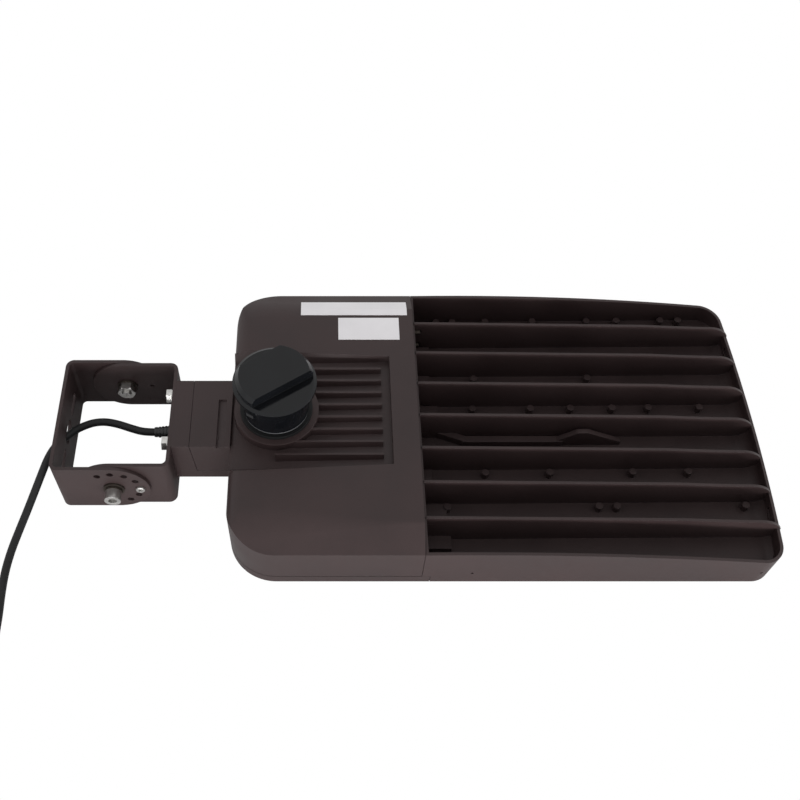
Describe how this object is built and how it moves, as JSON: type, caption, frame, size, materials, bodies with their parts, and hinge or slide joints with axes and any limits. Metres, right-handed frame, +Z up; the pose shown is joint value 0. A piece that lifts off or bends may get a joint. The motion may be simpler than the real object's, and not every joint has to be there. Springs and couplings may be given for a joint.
{
  "type": "area light",
  "caption": "Flat finned area light with a driver box, a twist-lock control cap on top, a tilting U-bracket mount and a flexible supply cord.",
  "frame": {"origin": "middle of the light's length without its cord, on its lengthwise centreline, at the level of the surface it lies on", "axes": "+X from the wall bracket towards the finned end, +Y to the far side in the picture, +Z up, away from the lenses"},
  "size_m": [0.8448, 0.4569, 0.1385],
  "materials": {
    "bronze_powder_coat": "fine textured powder coat on bent steel",
    "bronze_casting": "fine textured powder coat on die-cast aluminium",
    "stainless": "satin",
    "black_nylon": "matte",
    "silicone": "matte",
    "board_white": "satin solder mask",
    "clear_lens": "moulded clear",
    "cord_jacket": "matte",
    "white_nylon": "matte",
    "brass_screws": "satin",
    "driver_case": "satin",
    "surge_case": "matte",
    "receptacle_plastic": "matte",
    "contact_brass": "satin",
    "cap_plastic": "gloss",
    "label_film": "satin film",
    "lead_jackets": "satin",
    "copper": "bare drawn wire"
  },
  "bodies": {
    "yoke": {"yoke_bracket": "bronze_powder_coat", "pivot_bolts": "stainless", "pivot_washers": "stainless", "spring_washers": "stainless", "pivot_nuts": "stainless", "index_screw": "stainless", "supply_cord": "cord_jacket", "cord_coil": "cord_jacket", "coil_tie": "black_nylon", "lead_insulation": "lead_jackets", "bare_wire_ends": "copper"},
    "head": {"tilt_bracket": "bronze_powder_coat", "bracket_screws": "stainless", "arm_adapter": "bronze_casting", "neck_screws": "stainless", "cord_gland": "black_nylon", "driver_housing": "bronze_casting", "driver_door": "bronze_casting", "door_gasket": "silicone", "door_screws": "stainless", "breather_vent": "black_nylon", "heat_sink": "bronze_casting", "end_gasket": "silicone", "end_wall_screws": "stainless", "led_board_box_end": "board_white", "led_board_tip_end": "board_white", "lens_array_box_end": "clear_lens", "lens_array_tip_end": "clear_lens", "lens_seal_box_end": "silicone", "lens_seal_tip_end": "silicone", "lens_frame": "bronze_casting", "lens_frame_screws": "stainless", "inner_cord": "cord_jacket", "terminal_block": "white_nylon", "terminal_screws": "brass_screws", "led_driver": "driver_case", "led_driver_screws": "stainless", "surge_protector": "surge_case", "upper_label": "label_film", "lower_label": "label_film", "cord_bridge": "cord_jacket"},
    "receptacle": {"receptacle": "receptacle_plastic", "receptacle_pads": "contact_brass", "receptacle_contacts": "contact_brass", "receptacle_clip": "stainless"},
    "cap": {"shorting_cap": "cap_plastic", "cap_blades": "contact_brass", "cap_gasket": "silicone"}
  },
  "joints": [
    {"name": "head_tilt", "type": "hinge", "parent": "yoke", "child": "head", "pos_m": [-0.291, 0, 0.0355], "axis": [0, 1, 0], "range_deg": [-60, 60], "deforming": ["cord_bridge"]},
    {"name": "receptacle_turn", "type": "hinge", "parent": "head", "child": "receptacle", "pos_m": [-0.1315, 0, 0.0785], "axis": [0, 0, 1], "range_deg": [-175, 175]},
    {"name": "cap_lift", "type": "slide", "parent": "receptacle", "child": "cap", "axis": [0, 0, 1], "range_m": [0, 0.04]}
  ]
}
